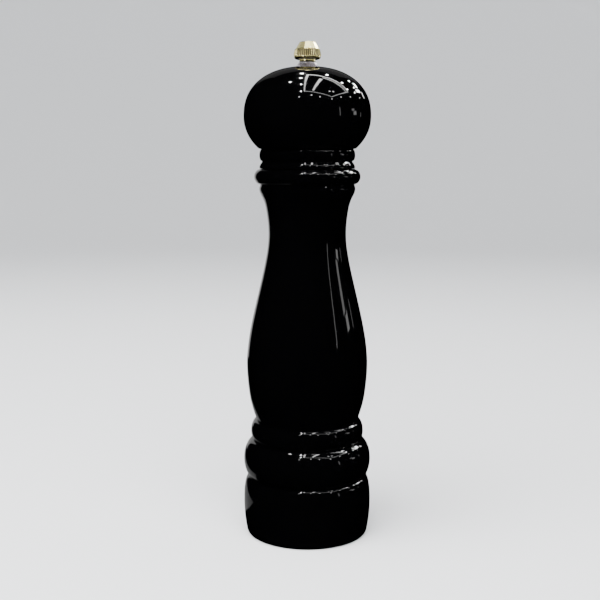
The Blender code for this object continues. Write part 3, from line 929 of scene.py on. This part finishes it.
def make_collar():
    """A conical washer with serrated sides and a toothed rim, under the knob."""
    columns, teeth = 576, 36
    low, high = bottom("knob_collar"), top("knob_collar")
    rim = radius("knob_collar")
    gap = tooth_gap(teeth * angles(columns))
    outline = [(2.95, low), (2.85, low + 0.12), (2.85, high - 0.15), (2.95, high), (4.15, high)]
    rows = [ring(r, z, columns) for r, z in outline]
    side = [
        (4.3, high - 0.12, 0.0), (4.36, high - 0.35, 0.0), (4.5, high - 0.6, 0.12),
        (4.8, high - 0.95, 0.24), (5.2, high - 1.4, 0.28), (5.55, low + 0.42, 0.3),
        (rim - 0.04, low + 0.24, 0.42), (rim, low + 0.1, 0.42), (rim - 0.1, low, 0.36),
    ]
    rows += [ring(r - cut * gap, z, columns) for r, z, cut in side]
    rows.append(ring(5.0, low, columns))
    collar = skin("knob_collar_zinc", rows)
    r, angle, z = polar(collar)
    # Painted shade: darker in the gaps between the serrations and inside the bore.
    serrated = 0.85 * tooth_gap(teeth * angle) * (r > 4.32) * (z < high - 0.5)
    mark(collar, "hollow_shade", serrated + 0.4 * (r < 3))
    finish_piece(collar, "knob_collar", "knob_collar", "zinc_plated_steel", [ZINC], 30)


# ---------------------------------------------------------------- shaft

SHAFT_COLUMNS = 96


def make_shaft():
    """A square aluminium bar: a round journal at the foot and a cut thread at the head."""
    low, high = bottom("drive_shaft"), top("drive_shaft")
    square_low, square_high, journal, thread_cut = 4.9, 231.9, 2.4, 0.44
    square = square_radius(6.0, 0.8, SHAFT_COLUMNS)
    rows = [ring(0.0, low), ring(journal - 0.5, low), ring(journal - 0.2, low + 0.08)]
    rows += [ring(journal, low + 0.35), ring(journal, square_low - 0.15)]
    rows += [ring(np.minimum(square, r), square_low + rise) for r, rise in (
        (2.6, 0.0), (2.9, 0.15), (3.2, 0.35), (9.0, 0.6)
    )]
    length = square_high - square_low
    rows += [ring(square, square_low + length * t) for t in (0.1, 0.3, 0.5, 0.7, 0.9)]
    rows += [ring(np.minimum(square, r), square_high - drop) for r, drop in (
        (9.0, 0.9), (3.25, 0.5), (2.9, 0.2), (2.5, 0.0)
    )]
    start, end = square_high + 0.4, high - 0.3
    steps = int((end - start) / THREAD_PITCH * 12)
    for i in range(steps + 1):
        height = start + (end - start) * i / steps
        depth = thread_depth(height, THREAD_PITCH, SHAFT_COLUMNS)
        fade = min(1.0, (height - start) / 1.0)
        tip = 0.5 * float(ramp(height, high - 1.0, high))
        rows.append(ring(THREAD - 0.02 - tip - thread_cut * depth * fade, height))
    rows += [ring(THREAD - 0.75, high), ring(0.0, high)]
    shaft = skin("drive_shaft_aluminium", rows, closed=False)
    r, _, z = polar(shaft)
    # Painted shade: darker in the roots of the cut thread.
    mark(shaft, "hollow_shade", 0.8 * (z > start) * (r > 0.5) * np.clip((THREAD - 0.15 - r) / 0.3, 0, 1))
    finish_piece(shaft, "spindle", "drive_shaft", "aluminium_bar", [ALUMINIUM], 30)


# ---------------------------------------------------------------- plates and screws


def zinc_piece(piece, body, node):
    """Finishes a pressed or plated piece that has no painted shade in its hollows."""
    mark(piece, "hollow_shade", np.zeros(len(piece.data.vertices)))
    finish_piece(piece, body, node, "zinc_plated_steel", [PRESSED_ZINC])


def make_screw(node, body, at):
    """A pan-head wood screw that stands head down, with a cut slot and a tapering thread."""
    low, high = bottom(node), top(node)
    columns, pitch = 48, 1.1
    head, shank, root, head_height = 2.1, 1.2, 0.82, 1.4
    seat = low + head_height
    rows = [ring(0.0, low, columns, at)]
    for degrees in range(10, 91, 10):
        turn = math.radians(degrees)
        height = seat - 0.2 - (head_height - 0.2) * math.cos(turn)
        rows.append(ring(head * math.sin(turn) ** 0.8, height, columns, at))
    rows += [ring(r, z, columns, at) for r, z in (
        (head, seat - 0.08), (head - 0.08, seat), (shank + 0.15, seat), (shank, seat + 0.15)
    )]
    start = seat + 0.6
    steps = int((high - start) / pitch * 10)
    for i in range(steps):
        height = start + (high - start) * i / steps
        taper = min(1.0, (high - height) / 2.6) ** 0.7
        wave = np.abs(helix(height, pitch, columns) * 2 - 1)
        crest = np.clip(1 - wave * 2.4, 0, 1) * min(1.0, i / 8)
        rows.append(ring((root + (shank - root) * crest) * taper, height, columns, at))
    rows.append(ring(0.0, high, columns, at))
    screw = skin(node + "_threaded", rows, closed=False)
    slot = oblong(6.0, 0.6, 0.05, 2, math.radians(35), at)
    carve(screw, [slab(slot, low - 1, low + 0.62)])
    zinc_piece(screw, body, node)


def make_turn_plate():
    """A pressed plate with a low boss round its square hole; it turns the shaft with the head."""
    columns = 160
    low, high = bottom("turn_plate"), top("turn_plate")
    rim = radius("turn_plate")
    hole = square_radius(SQUARE_HOLE, SQUARE_CORNER, columns)
    boss = np.maximum(5.6, hole + 0.3)
    loop = [(hole + 0.15, low), (hole, low + 0.15), (hole, high - 0.15), (hole + 0.15, high)]
    loop += [(boss, high), (7.0, high), (10.0, high), (rim - 0.35, high)]
    loop += [(rim - 0.1, high - 0.1), (rim, high - 0.35), (rim, low + 0.5)]
    loop += [(rim - 0.12, low + 0.32), (rim - 0.4, low + 0.25), (11.6, low + 0.25)]
    loop += [(10.9, low + 0.25), (7.4, low + 0.25), (6.9, low + 0.2), (6.5, low + 0.05)]
    loop += [(6.1, low), (boss, low)]
    plate = skin("turn_plate_pressed", [ring(r, z, columns) for r, z in loop])
    carve(plate, pilots(low - 2, high + 2, TURN_PLATE_SCREWS))
    zinc_piece(plate, "head", "turn_plate")


def make_bearing_plate():
    """A spider: rim and hub joined by three arms, with windows for the corns between them."""
    low, high = bottom("bearing_plate"), top("bearing_plate")
    rim_outer, rim_inner, hub, bore = radius("bearing_plate"), 12.9, 6.4, 3.98

    def washer(name, outer, inner):
        loop = [(outer, high), (outer, low), (inner, low), (inner, high)]
        return turned(name, eased(loop, 0.2, closed=True), 128)

    plate = washer("bearing_plate_spider", rim_outer, rim_inner)
    arms = []
    for i in range(3):
        turn = math.radians(90 + 120 * i)
        middle = (rim_inner + hub) / 2
        at = (middle * math.cos(turn), middle * math.sin(turn))
        arm = oblong(rim_inner - hub + 2.0, 3.6, 0.3, 4, turn, at)
        arms.append(slab(arm, low + 0.01, high - 0.01, 0.2))
    carve(plate, [*arms, washer("cutter", hub, bore)], "UNION")
    carve(plate, pilots(low - 2, high + 2, STATOR_SCREWS))
    zinc_piece(plate, "mill_body", "bearing_plate")


def make_base_bar():
    """A strap across the foot, with round ends and two short grooves pressed along it."""
    low, high = bottom("base_bar"), top("base_bar")
    bar = slab(oblong(56.0, 9.0, 3.6, 10), low, high, 0.3, "base_bar_strap")
    grooves = [oblong(12.0, 1.6, 0.79, 8, 0.0, (x, 0)) for x in (-13.5, 13.5)]
    cutters = [slab(groove, low - 1, low + 0.3) for groove in grooves]
    cutters.append(pin(2.7, low - 2, high + 2, (0, 0)))
    carve(bar, cutters + pilots(low - 2, high + 2, BAR_SCREWS))
    zinc_piece(bar, "mill_body", "base_bar")


# ---------------------------------------------------------------- grinder

TEETH = 20
BURR_COLUMNS, BURR_STEPS = 480, 44


def saw(turn, teeth):
    """Grinding teeth: a short steep side and a long easy one, 0 at the root and 1 at the tip."""
    phase = (turn * teeth / TAU) % 1.0
    return np.where(phase < 0.25, phase / 0.25, (1 - phase) / 0.75)


def tooth_rows(levels, sign):
    """Rows between levels of (height, root, tip, twist in degrees), fine teeth in the lowest."""
    rows = []
    heights, *shape = zip(*levels)
    fine_until = heights[1]
    for i in range(BURR_STEPS + 1):
        height = heights[0] + (heights[-1] - heights[0]) * i / BURR_STEPS
        root, tip, twist = (np.interp(height, heights, values) for values in shape)
        turn = sign * (angles(BURR_COLUMNS) - math.radians(twist))
        coarse, fine = saw(turn, TEETH), saw(turn, TEETH * 2)
        share = float(ramp(height, fine_until - 0.8, fine_until + 0.8))
        depth = fine * (1 - share) * 0.8 + coarse * share
        rows.append(ring(root + (tip - root) * depth, height, BURR_COLUMNS))
    return rows


def make_stator():
    """The female ring: a flange held by three screws, and teeth that narrow to its throat."""
    low, high = bottom("burr_stator"), top("burr_stator")
    flange, barrel, crown = radius("burr_stator"), 14.7, 13.6
    under = high - 1.3
    levels = [
        (low, 12.75, 13.4, 0), (low + 5.4, 11.4, 12.3, 6), (low + 10.4, 11.2, 12.4, 14),
        (high, 12.35, 13.2, 25),
    ]
    outer = eased([
        (crown, high), (flange, high), (flange, under), (barrel, under), (barrel, low), (crown, low)
    ], 0.3)
    rows = tooth_rows(levels, -1) + [ring(r, z, BURR_COLUMNS) for r, z in outer]
    stator = skin("burr_stator_ring", rows)
    carve(stator, pilots(under - 2, high + 2, STATOR_SCREWS))
    r = polar(stator)[0]
    mark(stator, "edge", ramp(12.0 - r, 0.0, 0.7) * (r < 13.5))
    finish_piece(stator, "mill_body", "burr_stator", "burr_steel", [BURR_STEEL], 28)


def make_rotor():
    """The male cone: coarse ridges above draw the corns down, the wide lower band grinds."""
    low, high = bottom("burr_rotor"), top("burr_rotor")
    levels = [
        (low, 11.2, 11.85, 0), (low + 4.6, 10.0, 10.8, -7), (low + 7.4, 7.6, 8.6, -16),
        (high, 5.6, 6.15, -26),
    ]
    hole = square_radius(SQUARE_HOLE, SQUARE_CORNER, BURR_COLUMNS)
    under = [(hole + 0.2, low), (hole + 0.9, low), (7.5, low + 0.5), (9.9, low + 0.5), (10.3, low)]
    over = [(np.maximum(hole + 0.35, 5.2), high), (hole + 0.2, high), (hole, high - 0.2)]
    over.append((hole, low + 0.2))
    rows = [ring(r, z, BURR_COLUMNS) for r, z in under]
    rows += tooth_rows(levels, 1) + [ring(r, z, BURR_COLUMNS) for r, z in over]
    rotor = skin("burr_rotor_cone", rows)
    r, _, z = polar(rotor)
    heights, _, tips, _ = zip(*levels)
    mark(rotor, "edge", ramp(r - np.interp(z, heights, tips), -0.45, 0.0) * (r > 5.3))
    finish_piece(rotor, "spindle", "burr_rotor", "burr_steel", [BURR_STEEL], 28)


def flat_ring(name, node, hole, outer_edge, columns):
    """A washer with its hole's radius given for each column, and its edges broken."""
    low, high = bottom(node), top(node)
    rim, inner_edge = radius(node), 0.12
    loop = [(rim - outer_edge, high), (rim, high - outer_edge)]
    loop += [(rim, low + outer_edge), (rim - outer_edge, low)]
    loop += [(hole + inner_edge, low), (hole, low + inner_edge)]
    loop += [(hole, high - inner_edge), (hole + inner_edge, high)]
    return skin(name, [ring(r, z, columns) for r, z in loop])


def make_small_rings():
    """The thrust washer under the bearing plate and the ring that holds the rotor on."""
    columns = 160
    square = square_radius(SQUARE_HOLE, SQUARE_CORNER, columns)
    washer = flat_ring("thrust_washer_disc", "thrust_washer", square, 0.2, columns)
    zinc_piece(washer, "spindle_seat", "thrust_washer")
    notched = 3.98 + 0.7 * ramp(np.cos(3 * angles(columns)), 0.55, 0.75)
    retainer = flat_ring("rotor_retainer_ring", "rotor_retainer", notched, 0.12, columns)
    zinc_piece(retainer, "spindle", "rotor_retainer")


def make_spring():
    """A compression spring with its end turns laid flat, built at one length, though the real one
    shortens as the shaft rises.
    """
    low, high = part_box("pressure_spring")
    wire = 0.45
    mean = radius("pressure_spring") - wire
    start, end = low.z / MM + wire, high.z / MM - wire
    turns, flat = 5.0, 0.75
    closed_rise = 2 * wire + 0.1
    active = turns - 2 * flat
    active_rise = (end - start - 2 * closed_rise * flat) / active
    steps, around = 240, 14
    around_wire = angles(around)[:, None]
    up = np.array([0.0, 0.0, 1.0])
    rows = []
    for i in range(steps + 1):
        turn = turns * i / steps
        ends = min(turn, flat) + max(turn - flat - active, 0.0)
        height = start + closed_rise * ends + active_rise * min(max(turn - flat, 0.0), active)
        angle = TAU * turn
        out = np.array([math.cos(angle), math.sin(angle), 0.0])
        centre = out * mean + up * height
        taper = 1 - 0.35 * max(0.0, 1 - min(i, steps - i) / 6)
        rows.append(centre + wire * taper * (out * np.cos(around_wire) + up * np.sin(around_wire)))
    spring = skin("pressure_spring_coil", rows, closed=False, capped=True)
    mark(spring, "hollow_shade", np.zeros(len(spring.data.vertices)))
    spring.data.materials.append(SPRING_STEEL)
    spring.data.shade_smooth()
    spring.data.set_sharp_from_angle(angle=math.radians(50))
    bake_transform(spring)
    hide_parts("pressure_spring")
    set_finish(spring, "spring_steel")


make_body()
make_head()
make_knob()
make_collar()
make_shaft()
make_turn_plate()
make_bearing_plate()
make_base_bar()
make_stator()
make_rotor()
make_small_rings()
make_spring()
for kind, body, places in (
    ("stator_screw", "mill_body", STATOR_SCREWS),
    ("base_bar_screw", "mill_body", BAR_SCREWS),
    ("turn_plate_screw", "head", TURN_PLATE_SCREWS),
):
    for i, at in enumerate(places):
        make_screw(f"{kind}_{i + 1}", body, at)

make_camera()
make_stage()
make_lights()
make_world()
